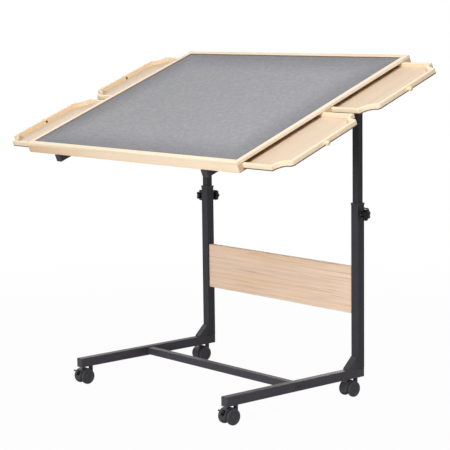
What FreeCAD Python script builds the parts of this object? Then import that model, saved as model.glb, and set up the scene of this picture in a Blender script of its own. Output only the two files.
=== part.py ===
import FreeCAD, Part
import math
import os

# Jigsaw puzzle table on a rolling stand, in millimetres.
# +X runs to the right along the cross bar, +Y to the back where the posts stand, +Z up.
# The origin is on the floor, midway across the width and the depth of the table.

# Board
board_width = 880.0
board_depth = 640.0
board_thickness = 28.0
board_tilt_deg = 21.7
rim_width = 15.0
rim_height = 8.0
rim_rebate = 5.0
rim_edge_round = 1.2
apron_width = 15.0
back_apron_width = 24.0
panel_thickness = 4.0
felt_thickness = 1.2
felt_margin = 0.3
cross_rail_width = 22.0
front_bay_share = 0.508
spine_width = 40.0

# Drawers
drawer_pull_out_front = 139.0
drawer_pull_out_rear = 134.0
drawer_height = 14.0
drawer_side_gap = 0.8
drawer_floor_gap = 0.3
drawer_stop_gap = 1.0
drawer_wall = 9.0
drawer_floor = 3.0
drawer_rebate = 4.0
drawer_cove_radius = 29.0
drawer_inner_nose = 0.5
pull_length = 13.0
pull_radius = 6.5
pull_neck_radius = 4.2
pull_foot_radius = 5.2
pull_foot_length = 2.0
pull_neck_length = 4.0
pull_edge_length = 8.0

# Stand
post_spacing = 616.0
foot_length = 487.5
foot_width = 22.0
foot_height = 25.0
foot_wall = 1.5
foot_clearance = 47.5
tube_corner = 2.0
cap_thickness = 2.5
cap_plug_length = 9.0
plug_gap = 0.1
cross_bar_size = 20.0
cross_bar_plate = 4.0
base_bolt_radius = 2.8
base_bolt_head_radius = 4.6
base_bolt_head_height = 3.0
base_bolt_spacing = 11.0
bolt_gap = 0.06
lower_post_size = 25.5
lower_post_wall = 1.2
lower_post_top = 512.0
gusset_length = 33.0
gusset_height = 32.0
gusset_width = 20.0
gusset_toe = 3.0
collar_size = 27.0
collar_height = 6.0
collar_sleeve_length = 17.0
collar_gap = 0.1
stretcher_bottom = 218.7
stretcher_height = 127.0
stretcher_thickness = 15.0
stretcher_setback = 5.8
stretcher_round = 1.5

# Upper posts, rails and tilt pivot
upper_post_size = 20.0
upper_post_wall = 1.2
upper_post_corner = 1.8
upper_post_bottom = 290.0
upper_post_over_pivot = 8.0
rivet_radius = 2.6
rivet_height = 1.6
rivet_shank_radius = 1.6
rivet_upper_drop = 82.4
rivet_spacing = 8.8
rivet_forward = 3.0
pivot_height = 815.0
pivot_from_front = 555.0
pivot_drop = 18.0
pivot_bolt_radius = 4.0
pivot_head_radius = 6.5
pivot_head_height = 4.5
rail_width = 22.0
rail_height = 20.0
rail_wall = 1.5
rail_front_overhang = 2.0
rail_rear_setback = 18.0
cheek_thickness = 3.0
cheek_top_gap = 4.0
cheek_half_length = 40.0
cheek_shoulder = 12.0
cheek_nose_radius = 13.0
cheek_corner = 3.0
rail_screw_radius = 2.0
rail_screw_head_radius = 4.0
rail_screw_head_height = 2.4
rail_screw_bite = 11.0
rail_screw_spacing = 12.0

# Clamp knobs
knob_height = 487.5
knob_radius = 15.5
knob_head = 13.0
knob_neck_radius = 7.5
knob_neck = 6.0
knob_crown = 2.0
knob_edge = 3.0
knob_scallop_radius = 5.0
knob_scallop_reach = 15.5
knob_lobe_count = 6
knob_stud_radius = 4.0
knob_face_gap = 0.3
knob_stand_off = 5.0
stud_tip_gap = 0.2
tilt_bolt_reach = 15.0

# Casters
wheel_radius = 21.0
wheel_inner_half = 11.4
wheel_outer_half = 20.0
wheel_edge = 2.5
wheel_dish = 1.2
wheel_dish_radius = 14.0
wheel_hub_radius = 6.0
axle_radius = 3.0
axle_half = 17.0
caster_trail = 22.0
front_stem_inset = 38.0
rear_stem_inset = 22.5
hood_radius = 23.0
hood_half_width = 11.0
hood_bottom = 13.0
hood_edge = 2.0
neck_radius = 6.0
neck_bottom = 20.0
stem_radius = 4.0
stem_reach = 16.0
lever_half_width = 6.0
lever_side_gap = 0.4
lever_pivot_forward = 17.0
lever_pivot_height = 31.0
lever_tip_forward = 30.0
lever_tip_rise = 9.5
lever_thickness = 3.6
lever_paddle_half_width = 8.5
lever_paddle_length = 6.0
lever_root = 2.4
lever_corner = 1.2
lever_pin_radius = 1.5
lever_pin_half = 9.0
slot_bottom = 25.5
slot_top = 37.8
slot_back_forward = 12.5

# Fits
running_gap = 0.06
overrun = 2.0
join_tolerance = 0.0001

V = FreeCAD.Vector
X_AXIS = V(1, 0, 0)
Y_AXIS = V(0, 1, 0)
Z_AXIS = V(0, 0, 1)

# Places that follow from the sizes above
tilt = math.radians(board_tilt_deg)
pivot_depth = board_thickness + rail_height + pivot_drop
board_front_y = -(board_depth * math.cos(tilt) + board_thickness * math.sin(tilt)) / 2
post_y = board_front_y + pivot_from_front * math.cos(tilt) + pivot_depth * math.sin(tilt)
board_front_z = pivot_height - pivot_from_front * math.sin(tilt) + pivot_depth * math.cos(tilt)
board_frame = FreeCAD.Placement(V(0, board_front_y, board_front_z), FreeCAD.Rotation(X_AXIS, board_tilt_deg))
foot_rear_y = post_y + lower_post_size / 2
foot_front_y = foot_rear_y - foot_length
foot_top = foot_clearance + foot_height
foot_middle_z = foot_clearance + foot_height / 2
cross_bar_y = foot_front_y + foot_length / 2
post_x = post_spacing / 2
post_front_y = post_y - lower_post_size / 2
bay_room = board_depth - apron_width - back_apron_width - cross_rail_width
front_bay_length = bay_room * front_bay_share
rear_bay_length = bay_room - front_bay_length
cross_rail_front = apron_width + front_bay_length
cross_rail_back = cross_rail_front + cross_rail_width
bay_floor_n = panel_thickness - board_thickness
half_width = board_width / 2
sides = {"left": -1, "right": 1}


def rounded_outline(corners):
    # Closed wire in the XY plane through corners given as (x, y, radius), with a tangent arc at each corner
    bends = []
    for index, (x, y, radius) in enumerate(corners):
        here = V(x, y, 0)
        to_last = (V(*corners[index - 1][:2], 0) - here).normalize()
        to_next = (V(*corners[(index + 1) % len(corners)][:2], 0) - here).normalize()
        half_angle = to_last.getAngle(to_next) / 2
        setback = radius / math.tan(half_angle)
        inward = (to_last + to_next).normalize() * (radius / math.sin(half_angle) - radius)
        bends.append((here + to_last * setback, here + inward, here + to_next * setback))
    edges = []
    for index, (start, middle, end) in enumerate(bends):
        if start.distanceToPoint(end) > join_tolerance:
            edges.append(Part.Arc(start, middle, end).toShape())
        following = bends[(index + 1) % len(bends)][0]
        if end.distanceToPoint(following) > join_tolerance:
            edges.append(Part.makeLine(end, following))
    return Part.Wire(edges)


def rectangle(width, depth, radius):
    # Rectangle round the origin with rounded corners
    return rounded_outline([
        (-width / 2, -depth / 2, radius),
        (width / 2, -depth / 2, radius),
        (width / 2, depth / 2, radius),
        (-width / 2, depth / 2, radius),
    ])


def prism(wire, bottom, top):
    solid = Part.Face(wire).extrude(Z_AXIS * (top - bottom))
    solid.translate(Z_AXIS * bottom)
    return solid


def block(low, high):
    return Part.makeBox(*(high - low), low)


def rod(radius, start, end):
    return Part.makeCylinder(radius, start.distanceToPoint(end), start, end - start)


def bore_outline(width, depth, wall, corner):
    # Inside of a tube whose outer corners are rounded
    return rectangle(width - 2 * wall, depth - 2 * wall, max(corner - wall, 0))


def tube(width, depth, wall, corner, length):
    # Rectangular tube along +Z, centred on the Z axis
    outer = prism(rectangle(width, depth, corner), 0, length)
    return outer.cut(prism(bore_outline(width, depth, wall, corner), -overrun, length + overrun))


def turned(points, arcs=()):
    # Solid of revolution about Z from (radius, height) points that start and end on the axis; arcs gives,
    # for a run between two points, a third point that the run passes through
    edges = []
    bent = dict(arcs)
    for index in range(len(points) - 1):
        start = V(points[index][0], 0, points[index][1])
        end = V(points[index + 1][0], 0, points[index + 1][1])
        if index in bent:
            middle = V(bent[index][0], 0, bent[index][1])
            edges.append(Part.Arc(start, middle, end).toShape())
        else:
            edges.append(Part.makeLine(start, end))
    edges.append(Part.makeLine(V(points[-1][0], 0, points[-1][1]), V(points[0][0], 0, points[0][1])))
    return Part.Face(Part.Wire(edges)).revolve(V(0, 0, 0), Z_AXIS, 360)


def dome_middle(radius, base, crown):
    # Point half way up a round cap that rises from its edge at height base to the axis at height crown
    rise = crown - base
    sphere = (radius ** 2 + rise ** 2) / (2 * rise)
    angle = math.atan(rise / radius)
    return sphere * math.sin(angle), crown - sphere * (1 - math.cos(angle))


def along_x(shape, sign):
    # Turns a shape built along +Z so that it points to +X or -X
    shape.rotate(V(0, 0, 0), Y_AXIS, 90 * sign)
    return shape


def along_y(shape):
    # Turns a shape built along +Z so that it points to +Y
    shape.rotate(V(0, 0, 0), X_AXIS, -90)
    return shape


def moved(shape, x, y, z):
    copy = shape.copy()
    copy.translate(V(x, y, z))
    return copy


def profile_along_x(corners, x_low, x_high):
    # Extrudes an outline given in (y, z, radius) along X
    solid = prism(rounded_outline(corners), 0, x_high - x_low)
    turn = FreeCAD.Matrix(0, 0, 1, x_low, 1, 0, 0, 0, 0, 1, 0, 0)
    return solid.transformed(turn)


def on_board(shape):
    # Carries a shape from board axes (x, distance from the front edge, height over the rim) to the table
    return shape.transformed(board_frame.toMatrix())


def group(solids):
    return solids[0] if len(solids) == 1 else Part.makeCompound(solids)


nodes = {}


# Feet, cross bar and their bolts

def end_plug(width, depth, wall, corner):
    # Plate with a plug that goes into the end of a tube, pointing along +Z
    plate = prism(rectangle(width, depth, corner), -cap_thickness, 0)
    plug = prism(bore_outline(width, depth, wall + plug_gap, corner + 2 * plug_gap), 0, cap_plug_length)
    return plate.fuse(plug).removeSplitter()


def stem_places(sign):
    return [
        V(sign * post_x, foot_front_y + front_stem_inset, foot_clearance),
        V(sign * post_x, foot_rear_y - rear_stem_inset, foot_clearance),
    ]


def base_bolt_places(sign):
    half = base_bolt_spacing / 2
    return [V(sign * post_x, cross_bar_y + offset, foot_middle_z) for offset in (-half, half)]


def foot(sign):
    shape = along_y(tube(foot_width, foot_height, foot_wall, tube_corner, foot_length - 2 * cap_thickness))
    shape.translate(V(sign * post_x, foot_front_y + cap_thickness, foot_middle_z))
    for place in stem_places(sign):
        hole = stem_radius + running_gap
        shape = shape.cut(rod(hole, place - Z_AXIS * overrun, place + Z_AXIS * (foot_wall + overrun)))
    for place in base_bolt_places(sign):
        through = X_AXIS * foot_width
        shape = shape.cut(rod(base_bolt_radius + bolt_gap, place - through, place + through))
    return shape


def foot_caps():
    caps = []
    for sign in sides.values():
        front = along_y(end_plug(foot_width, foot_height, foot_wall, tube_corner))
        rear = front.copy()
        rear.rotate(V(0, 0, 0), Z_AXIS, 180)
        caps.append(moved(front, sign * post_x, foot_front_y + cap_thickness, foot_middle_z))
        caps.append(moved(rear, sign * post_x, foot_rear_y - cap_thickness, foot_middle_z))
    return caps


def cross_bar():
    length = post_spacing - foot_width
    shape = prism(rectangle(cross_bar_size, cross_bar_size, tube_corner), 0, length)
    bore = bore_outline(cross_bar_size, cross_bar_size, foot_wall, tube_corner)
    hollow = prism(bore, cross_bar_plate, length - cross_bar_plate)
    shape = along_x(shape.cut(hollow), 1)
    shape.translate(V(-length / 2, cross_bar_y, foot_middle_z))
    for sign in sides.values():
        for place in base_bolt_places(sign):
            inner = place - X_AXIS * (sign * (foot_width / 2 + cross_bar_plate + overrun))
            shape = shape.cut(rod(base_bolt_radius + bolt_gap, place, inner))
    return shape


def base_bolts():
    bolts = []
    reach = foot_width + cross_bar_plate
    for sign in sides.values():
        for place in base_bolt_places(sign):
            bolt = turned(
                [
                    (0, base_bolt_head_height),
                    (base_bolt_head_radius, 0),
                    (base_bolt_radius, 0),
                    (base_bolt_radius, -reach),
                    (0, -reach),
                ],
                [(0, dome_middle(base_bolt_head_radius, 0, base_bolt_head_height))],
            )
            bolts.append(moved(along_x(bolt, sign), place.x + sign * foot_width / 2, place.y, place.z))
    return bolts


for side, sign in sides.items():
    nodes["foot_" + side] = [foot(sign)]
nodes["foot_caps"] = foot_caps()
nodes["cross_bar"] = [cross_bar()]
nodes["base_bolts"] = base_bolts()


# Lower posts, gussets, collars and stretcher

def lower_post(sign):
    shape = tube(lower_post_size, lower_post_size, lower_post_wall, tube_corner, lower_post_top - foot_top)
    shape.translate(V(sign * post_x, post_y, foot_top))
    centre = V(sign * post_x, post_y, knob_height)
    for outward in (X_AXIS * sign, Y_AXIS):
        shape = shape.cut(rod(knob_stud_radius + running_gap, centre, centre + outward * lower_post_size))
    return shape


def gusset(sign):
    # Solid triangular brace in the corner between a foot and its post
    corners = [
        (post_front_y, foot_top, 0),
        (post_front_y, foot_top + gusset_height, 0),
        (post_front_y - gusset_toe, foot_top + gusset_height, 0),
        (post_front_y - gusset_length, foot_top + gusset_toe, 0),
        (post_front_y - gusset_length, foot_top, 0),
    ]
    return profile_along_x(corners, sign * post_x - gusset_width / 2, sign * post_x + gusset_width / 2)


def collar(sign):
    bore = upper_post_size + 2 * collar_gap
    inset = lower_post_wall + plug_gap
    sleeve = bore_outline(lower_post_size, lower_post_size, inset, tube_corner + 2 * plug_gap)
    shape = prism(rectangle(collar_size, collar_size, tube_corner), 0, collar_height)
    shape = shape.fuse(prism(sleeve, -collar_sleeve_length, 0))
    hole = rectangle(bore, bore, upper_post_corner)
    shape = shape.cut(prism(hole, -collar_sleeve_length - overrun, collar_height + overrun))
    return moved(shape.removeSplitter(), sign * post_x, post_y, lower_post_top)


def stretcher():
    front = post_front_y + stretcher_setback
    back = front + stretcher_thickness
    top = stretcher_bottom + stretcher_height
    corners = [
        (front, stretcher_bottom, stretcher_round),
        (back, stretcher_bottom, stretcher_round),
        (back, top, stretcher_round),
        (front, top, stretcher_round),
    ]
    half = (post_spacing - lower_post_size) / 2
    return profile_along_x(corners, -half, half)


for side, sign in sides.items():
    nodes["lower_post_" + side] = [lower_post(sign)]
nodes["post_gussets"] = [gusset(sign) for sign in sides.values()]
nodes["post_collars"] = [collar(sign) for sign in sides.values()]
nodes["stretcher_board"] = [stretcher()]


# Upper posts, their rivets and the pivot bolts

def rivet_places(sign):
    place = V(sign * (post_x + upper_post_size / 2), post_y - rivet_forward, pivot_height - rivet_upper_drop)
    return [place, place - Z_AXIS * rivet_spacing]


def upper_post(sign):
    length = pivot_height + upper_post_over_pivot - upper_post_bottom
    shape = tube(upper_post_size, upper_post_size, upper_post_wall, upper_post_corner, length)
    shape.translate(V(sign * post_x, post_y, upper_post_bottom))
    centre = V(sign * post_x, post_y, pivot_height)
    through = X_AXIS * upper_post_size
    shape = shape.cut(rod(pivot_bolt_radius + bolt_gap, centre - through, centre + through))
    for place in rivet_places(sign):
        inner = place - X_AXIS * (sign * (upper_post_wall + overrun))
        shape = shape.cut(rod(rivet_shank_radius + bolt_gap, place + X_AXIS * (sign * overrun), inner))
    return shape


def rivets():
    pins = []
    for sign in sides.values():
        for place in rivet_places(sign):
            pin = turned(
                [
                    (0, rivet_height),
                    (rivet_radius, 0),
                    (rivet_shank_radius, 0),
                    (rivet_shank_radius, -upper_post_wall),
                    (0, -upper_post_wall),
                ],
                [(0, dome_middle(rivet_radius, 0, rivet_height))],
            )
            pins.append(moved(along_x(pin, sign), place.x, place.y, place.z))
    return pins


def pivot_bolt(sign):
    # Head against the inner cheek, shank through both cheeks and the post, end in the tilt knob
    cheek_outer = rail_width / 2 + cheek_thickness
    seat = -cheek_outer - knob_face_gap
    tip = cheek_outer + tilt_bolt_reach
    bolt = turned([
        (0, seat - pivot_head_height),
        (pivot_head_radius, seat - pivot_head_height),
        (pivot_head_radius, seat),
        (pivot_bolt_radius, seat),
        (pivot_bolt_radius, tip),
        (0, tip),
    ])
    return moved(along_x(bolt, sign), sign * post_x, post_y, pivot_height)


for side, sign in sides.items():
    nodes["upper_post_" + side] = [upper_post(sign)]
nodes["post_rivets"] = rivets()
nodes["pivot_bolts"] = [pivot_bolt(sign) for sign in sides.values()]


# Rails under the board, their plugs, screws and tilt brackets, in board axes

def rail_screw_places(sign):
    middle = (cross_rail_front + cross_rail_back) / 2
    half = rail_screw_spacing / 2
    bottom = -board_thickness - rail_height
    return [V(sign * post_x, middle + offset, bottom) for offset in (-half, half)]


def rail_screw_hole(place):
    return rod(rail_screw_radius + bolt_gap, place - Z_AXIS * overrun, place + Z_AXIS * rail_screw_length)


rail_length = board_depth - rail_rear_setback + rail_front_overhang
rail_centre_n = -board_thickness - rail_height / 2
rail_screw_length = rail_height + panel_thickness + rail_screw_bite


def rail(sign):
    shape = along_y(tube(rail_width, rail_height, rail_wall, tube_corner, rail_length - 2 * cap_thickness))
    shape.translate(V(sign * post_x, cap_thickness - rail_front_overhang, rail_centre_n))
    for place in rail_screw_places(sign):
        shape = shape.cut(rail_screw_hole(place))
    return on_board(shape)


def rail_caps():
    caps = []
    for sign in sides.values():
        front = along_y(end_plug(rail_width, rail_height, rail_wall, tube_corner))
        rear = front.copy()
        rear.rotate(V(0, 0, 0), Z_AXIS, 180)
        front_s = cap_thickness - rail_front_overhang
        rear_s = board_depth - rail_rear_setback - cap_thickness
        caps.append(on_board(moved(front, sign * post_x, front_s, rail_centre_n)))
        caps.append(on_board(moved(rear, sign * post_x, rear_s, rail_centre_n)))
    return caps


def rail_screws():
    screws = []
    for sign in sides.values():
        for place in rail_screw_places(sign):
            screw = turned([
                (0, -rail_screw_head_height),
                (rail_screw_head_radius, -rail_screw_head_height),
                (rail_screw_head_radius, 0),
                (rail_screw_radius, 0),
                (rail_screw_radius, rail_screw_length - bolt_gap),
                (0, rail_screw_length - bolt_gap),
            ])
            screws.append(on_board(moved(screw, place.x, place.y, place.z)))
    return screws


def tilt_bracket(sign):
    # Two cheeks on the sides of a rail, reaching down past the pivot bolt
    top = -board_thickness - cheek_top_gap
    shoulder = top - cheek_shoulder
    bottom = -pivot_depth - cheek_nose_radius
    corners = [
        (pivot_from_front - cheek_half_length, top, cheek_corner),
        (pivot_from_front - cheek_half_length, shoulder, cheek_corner),
        (pivot_from_front - cheek_nose_radius, bottom, cheek_nose_radius / 2),
        (pivot_from_front + cheek_nose_radius, bottom, cheek_nose_radius / 2),
        (pivot_from_front + cheek_half_length, shoulder, cheek_corner),
        (pivot_from_front + cheek_half_length, top, cheek_corner),
    ]
    cheeks = []
    for face in sides.values():
        inner = sign * post_x + face * rail_width / 2
        outer = inner + face * cheek_thickness
        plate = profile_along_x(corners, min(inner, outer), max(inner, outer))
        centre = V(inner, pivot_from_front, -pivot_depth)
        hole = rod(pivot_bolt_radius + running_gap, centre - X_AXIS * rail_width, centre + X_AXIS * rail_width)
        cheeks.append(on_board(plate.cut(hole)))
    return cheeks


for side, sign in sides.items():
    nodes["rail_" + side] = [rail(sign)]
    nodes["tilt_bracket_" + side] = tilt_bracket(sign)
nodes["rail_caps"] = rail_caps()
nodes["rail_screws"] = rail_screws()


# Board, in board axes: x, distance s from the front edge, height n over the rim

def board_block(x_half, s_low, s_high, n_low, n_high):
    return block(V(-x_half, s_low, n_low), V(x_half, s_high, n_high))


def rim_strips():
    # Mitred strips with rounded top edges and a rebate below for the panel
    frame = board_block(half_width, 0, board_depth, -rim_height, 0)
    frame = frame.cut(board_block(half_width - rim_width, rim_width, board_depth - rim_width,
                                  -rim_height - overrun, overrun))
    top_edges = [edge for edge in frame.Edges if abs(edge.BoundBox.ZMin) < join_tolerance]
    frame = frame.makeFillet(rim_edge_round, top_edges)
    rebate = rim_width - rim_rebate
    frame = frame.cut(board_block(half_width - rebate, rebate, board_depth - rebate,
                                  -rim_height - overrun, panel_thickness - rim_height))
    reach = rim_width + overrun
    front = rounded_outline([
        (-half_width, 0, 0),
        (half_width, 0, 0),
        (half_width - reach, reach, 0),
        (reach - half_width, reach, 0),
    ])
    front_wedge = prism(front, -rim_height - overrun, overrun)
    back_wedge = front_wedge.mirror(V(0, board_depth / 2, 0), Y_AXIS)
    remaining = frame.cut(front_wedge).cut(back_wedge)
    left, right = sorted(remaining.Solids, key=lambda solid: solid.CenterOfMass.x)
    return {
        "front": frame.common(front_wedge),
        "back": frame.common(back_wedge),
        "left": left,
        "right": right,
    }


def apron(width):
    # Apron along the front edge, with a rebate below for the bottom panel
    shape = board_block(half_width, 0, width, -board_thickness, -rim_height)
    return shape.cut(board_block(half_width + overrun, width - rim_rebate, width + overrun,
                                 -board_thickness - overrun, bay_floor_n))


def bored_for_rails(shape):
    for sign in sides.values():
        for place in rail_screw_places(sign):
            shape = shape.cut(rail_screw_hole(place))
    return shape


for name, strip in rim_strips().items():
    nodes["rim_" + name] = [on_board(strip.Solids[0])]
nodes["front_apron"] = [on_board(apron(apron_width))]
nodes["back_apron"] = [on_board(apron(back_apron_width).mirror(V(0, board_depth / 2, 0), Y_AXIS))]

panel_margin = rim_width - rim_rebate
felt_base = panel_thickness - rim_height
nodes["top_panel"] = [on_board(board_block(
    half_width - panel_margin, panel_margin, board_depth - panel_margin, -rim_height, felt_base))]
felt_edge = rim_width + felt_margin
nodes["felt"] = [on_board(board_block(
    half_width - felt_edge, felt_edge, board_depth - felt_edge, felt_base, felt_base + felt_thickness))]

bottom_front = apron_width - rim_rebate
bottom_back = board_depth - back_apron_width + rim_rebate
nodes["bottom_panel"] = [on_board(bored_for_rails(board_block(
    half_width, bottom_front, bottom_back, -board_thickness, bay_floor_n)))]
nodes["cross_rail"] = [on_board(bored_for_rails(board_block(
    half_width, cross_rail_front, cross_rail_back, bay_floor_n, -rim_height)))]
nodes["centre_spines"] = [
    on_board(board_block(spine_width / 2, low, high, bay_floor_n, -rim_height))
    for low, high in ((apron_width, cross_rail_front), (cross_rail_back, board_depth - back_apron_width))
]


# Drawers, in board axes, built pushed in on the right side, drawn out, and mirrored for the left

drawer_front_x = half_width
drawer_nose_radius = drawer_wall + drawer_inner_nose
drawer_depth = half_width - spine_width / 2 - drawer_stop_gap
drawer_back_x = drawer_front_x - drawer_depth
drawer_bottom_n = bay_floor_n + drawer_floor_gap
drawer_corner_x = drawer_front_x - drawer_nose_radius - drawer_cove_radius


def drawer_outline(length, inset):
    # Plan of the drawer drawn in by a distance: straight back and sides, and a front whose two ends
    # sweep inwards in a cove, with a rounded nose between cove and front
    cove = drawer_cove_radius + inset
    nose = drawer_nose_radius - inset
    cove_x = drawer_front_x - drawer_nose_radius
    nose_s = drawer_cove_radius + drawer_nose_radius
    start_angle = math.asin(inset / cove)
    middle_angle = (start_angle + math.pi / 2) / 2
    corner = V(cove_x - cove * math.cos(start_angle), inset, 0)
    cove_middle = V(cove_x - cove * math.cos(middle_angle), cove * math.sin(middle_angle), 0)
    cove_end = V(cove_x, cove, 0)
    nose_turn = nose * math.sin(math.pi / 4)
    nose_middle = V(cove_x + nose_turn, nose_s - nose_turn, 0)
    nose_end = V(drawer_front_x - inset, nose_s, 0)
    back = V(drawer_back_x + inset, inset, 0)

    def far(point):
        return V(point.x, length - point.y, 0)

    return Part.Wire([
        Part.makeLine(back, corner),
        Part.Arc(corner, cove_middle, cove_end).toShape(),
        Part.Arc(cove_end, nose_middle, nose_end).toShape(),
        Part.makeLine(nose_end, far(nose_end)),
        Part.Arc(far(nose_end), far(nose_middle), far(cove_end)).toShape(),
        Part.Arc(far(cove_end), far(cove_middle), far(corner)).toShape(),
        Part.makeLine(far(corner), far(back)),
        Part.makeLine(far(back), back),
    ])


def drawer_frame(length):
    # Shaped front, two sides and a back, butted together, with a rebate below for the floor
    ring = prism(drawer_outline(length, 0), 0, drawer_height)
    ring = ring.cut(prism(drawer_outline(length, drawer_wall), -overrun, drawer_height + overrun))
    ring = ring.cut(prism(drawer_outline(length, drawer_wall - drawer_rebate), -overrun, drawer_floor))
    joint_x = drawer_corner_x - drawer_wall
    tall = drawer_height + overrun
    front = block(V(joint_x, -overrun, -overrun), V(drawer_front_x + overrun, length + overrun, tall))
    back = block(V(drawer_back_x - overrun, drawer_wall, -overrun),
                 V(drawer_back_x + drawer_wall, length - drawer_wall, tall))
    walls = [ring.common(front), ring.common(back)]
    walls.extend(ring.cut(front).cut(back).Solids)
    return [wall.Solids[0] for wall in walls]


def drawer_floor_panel(length):
    return [prism(drawer_outline(length, drawer_wall - drawer_rebate + plug_gap), 0, drawer_floor)]


def drawer_pull(length):
    # Turned pull: foot, waist and domed head
    pull = turned(
        [
            (0, 0),
            (pull_foot_radius, 0),
            (pull_foot_radius, pull_foot_length),
            (pull_neck_radius, pull_neck_length),
            (pull_radius, pull_edge_length),
            (0, pull_length),
        ],
        [(4, dome_middle(pull_radius, pull_edge_length, pull_length))],
    )
    return [moved(along_x(pull, 1), drawer_front_x, length / 2, drawer_height / 2)]


drawer_makers = {"frame": drawer_frame, "floor": drawer_floor_panel, "pull": drawer_pull}
bays = {
    "front": (apron_width, front_bay_length, drawer_pull_out_front),
    "rear": (cross_rail_back, rear_bay_length, drawer_pull_out_rear),
}
for side, sign in sides.items():
    for bay, (low, bay_length, pull_out) in bays.items():
        for piece, maker in drawer_makers.items():
            solids = maker(bay_length - 2 * drawer_side_gap)
            placed = [moved(solid, pull_out, low + drawer_side_gap, drawer_bottom_n) for solid in solids]
            if sign < 0:
                placed = [solid.mirror(V(0, 0, 0), X_AXIS) for solid in placed]
            nodes["drawer_" + bay + "_" + side + "_" + piece] = [on_board(solid) for solid in placed]


# Clamp knobs

def knob_head_shape():
    # Lobed head on a round neck, along +Z from the face that it clamps against
    top = knob_neck + knob_head
    shape = turned(
        [
            (0, 0),
            (knob_neck_radius, 0),
            (knob_neck_radius, knob_neck),
            (knob_radius - knob_edge / 2, knob_neck),
            (knob_radius, knob_neck + knob_edge / 2),
            (knob_radius, top - knob_edge - knob_crown),
            (knob_radius - knob_edge, top - knob_crown),
            (0, top),
        ],
        [
            (5, (knob_radius - knob_edge * (1 - math.sin(math.pi / 4)),
                 top - knob_crown - knob_edge * (1 - math.sin(math.pi / 4)))),
            (6, dome_middle(knob_radius - knob_edge, top - knob_crown, top)),
        ],
    )
    for index in range(knob_lobe_count):
        angle = 2 * math.pi * (index + 0.5) / knob_lobe_count
        centre = V(knob_scallop_reach * math.cos(angle), knob_scallop_reach * math.sin(angle), knob_neck / 2)
        shape = shape.cut(rod(knob_scallop_radius, centre, centre + Z_AXIS * (top + overrun)))
    return shape


def post_knob():
    stud_length = lower_post_size / 2 - upper_post_size / 2 - stud_tip_gap + knob_stand_off
    stud = rod(knob_stud_radius, V(0, 0, 0), V(0, 0, -stud_length))
    return knob_head_shape().fuse(stud).removeSplitter()


def tilt_knob():
    bore = rod(pivot_bolt_radius + running_gap, V(0, 0, -overrun), V(0, 0, tilt_bolt_reach))
    return knob_head_shape().cut(bore)


post_face = lower_post_size / 2 + knob_stand_off
cheek_face = rail_width / 2 + cheek_thickness + knob_face_gap
for side, sign in sides.items():
    outer = along_x(post_knob(), sign)
    nodes["post_knob_outer_" + side] = [moved(outer, sign * (post_x + post_face), post_y, knob_height)]
    rear = along_y(post_knob())
    nodes["post_knob_rear_" + side] = [moved(rear, sign * post_x, post_y + post_face, knob_height)]
    tilt_clamp = along_x(tilt_knob(), sign)
    nodes["tilt_knob_" + side] = [moved(tilt_clamp, sign * (post_x + cheek_face), post_y, pivot_height)]


# Casters, built with the stem on the Z axis and the floor at z = 0

axle_y = -caster_trail
lever_pivot_y = axle_y - lever_pivot_forward


def caster_hood(with_brake):
    # Round housing between the wheels, cut flat below, with the neck, stem and axle
    centre = V(0, axle_y, wheel_radius)
    half = X_AXIS * hood_half_width
    drum = rod(hood_radius, centre - half, centre + half)
    drum = drum.makeFillet(hood_edge, [edge for edge in drum.Edges if len(edge.Vertexes) == 1])
    around = V(hood_half_width + overrun, hood_radius + overrun, hood_radius + overrun)
    below = block(centre - around, V(around.x, axle_y + around.y, hood_bottom))
    drum = drum.cut(below)
    neck = rod(neck_radius, V(0, 0, neck_bottom), V(0, 0, foot_clearance - knob_face_gap))
    stem = rod(stem_radius, V(0, 0, neck_bottom), V(0, 0, foot_clearance + stem_reach))
    axle = rod(axle_radius, centre - X_AXIS * axle_half, centre + X_AXIS * axle_half)
    hood = drum.fuse([neck, stem, axle])
    if with_brake:
        slot_half = lever_half_width + lever_side_gap
        slot = block(V(-slot_half, axle_y - hood_radius - overrun, slot_bottom),
                     V(slot_half, axle_y - slot_back_forward, slot_top))
        pivot = V(0, lever_pivot_y, lever_pivot_height)
        reach = X_AXIS * (lever_pin_half + plug_gap)
        hood = hood.cut([slot, rod(lever_pin_radius + running_gap, pivot - reach, pivot + reach)])
    return hood


def caster_wheels():
    # Two discs with rounded treads, a dished outer face and a raised hub
    disc = turned(
        [
            (0, wheel_inner_half),
            (wheel_radius - wheel_edge, wheel_inner_half),
            (wheel_radius, wheel_inner_half + wheel_edge),
            (wheel_radius, wheel_outer_half - wheel_edge),
            (wheel_radius - wheel_edge, wheel_outer_half),
            (wheel_dish_radius, wheel_outer_half),
            (wheel_dish_radius - wheel_dish, wheel_outer_half - wheel_dish),
            (wheel_hub_radius + wheel_dish, wheel_outer_half - wheel_dish),
            (wheel_hub_radius, wheel_outer_half),
            (0, wheel_outer_half),
        ],
        [
            (1, (wheel_radius - wheel_edge * (1 - math.sin(math.pi / 4)),
                 wheel_inner_half + wheel_edge * (1 - math.sin(math.pi / 4)))),
            (3, (wheel_radius - wheel_edge * (1 - math.sin(math.pi / 4)),
                 wheel_outer_half - wheel_edge * (1 - math.sin(math.pi / 4)))),
        ],
    )
    disc = disc.cut(rod(axle_radius + running_gap, V(0, 0, 0), V(0, 0, axle_half + plug_gap)))
    return [moved(along_x(disc.copy(), sign), 0, axle_y, wheel_radius) for sign in sides.values()]


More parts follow.
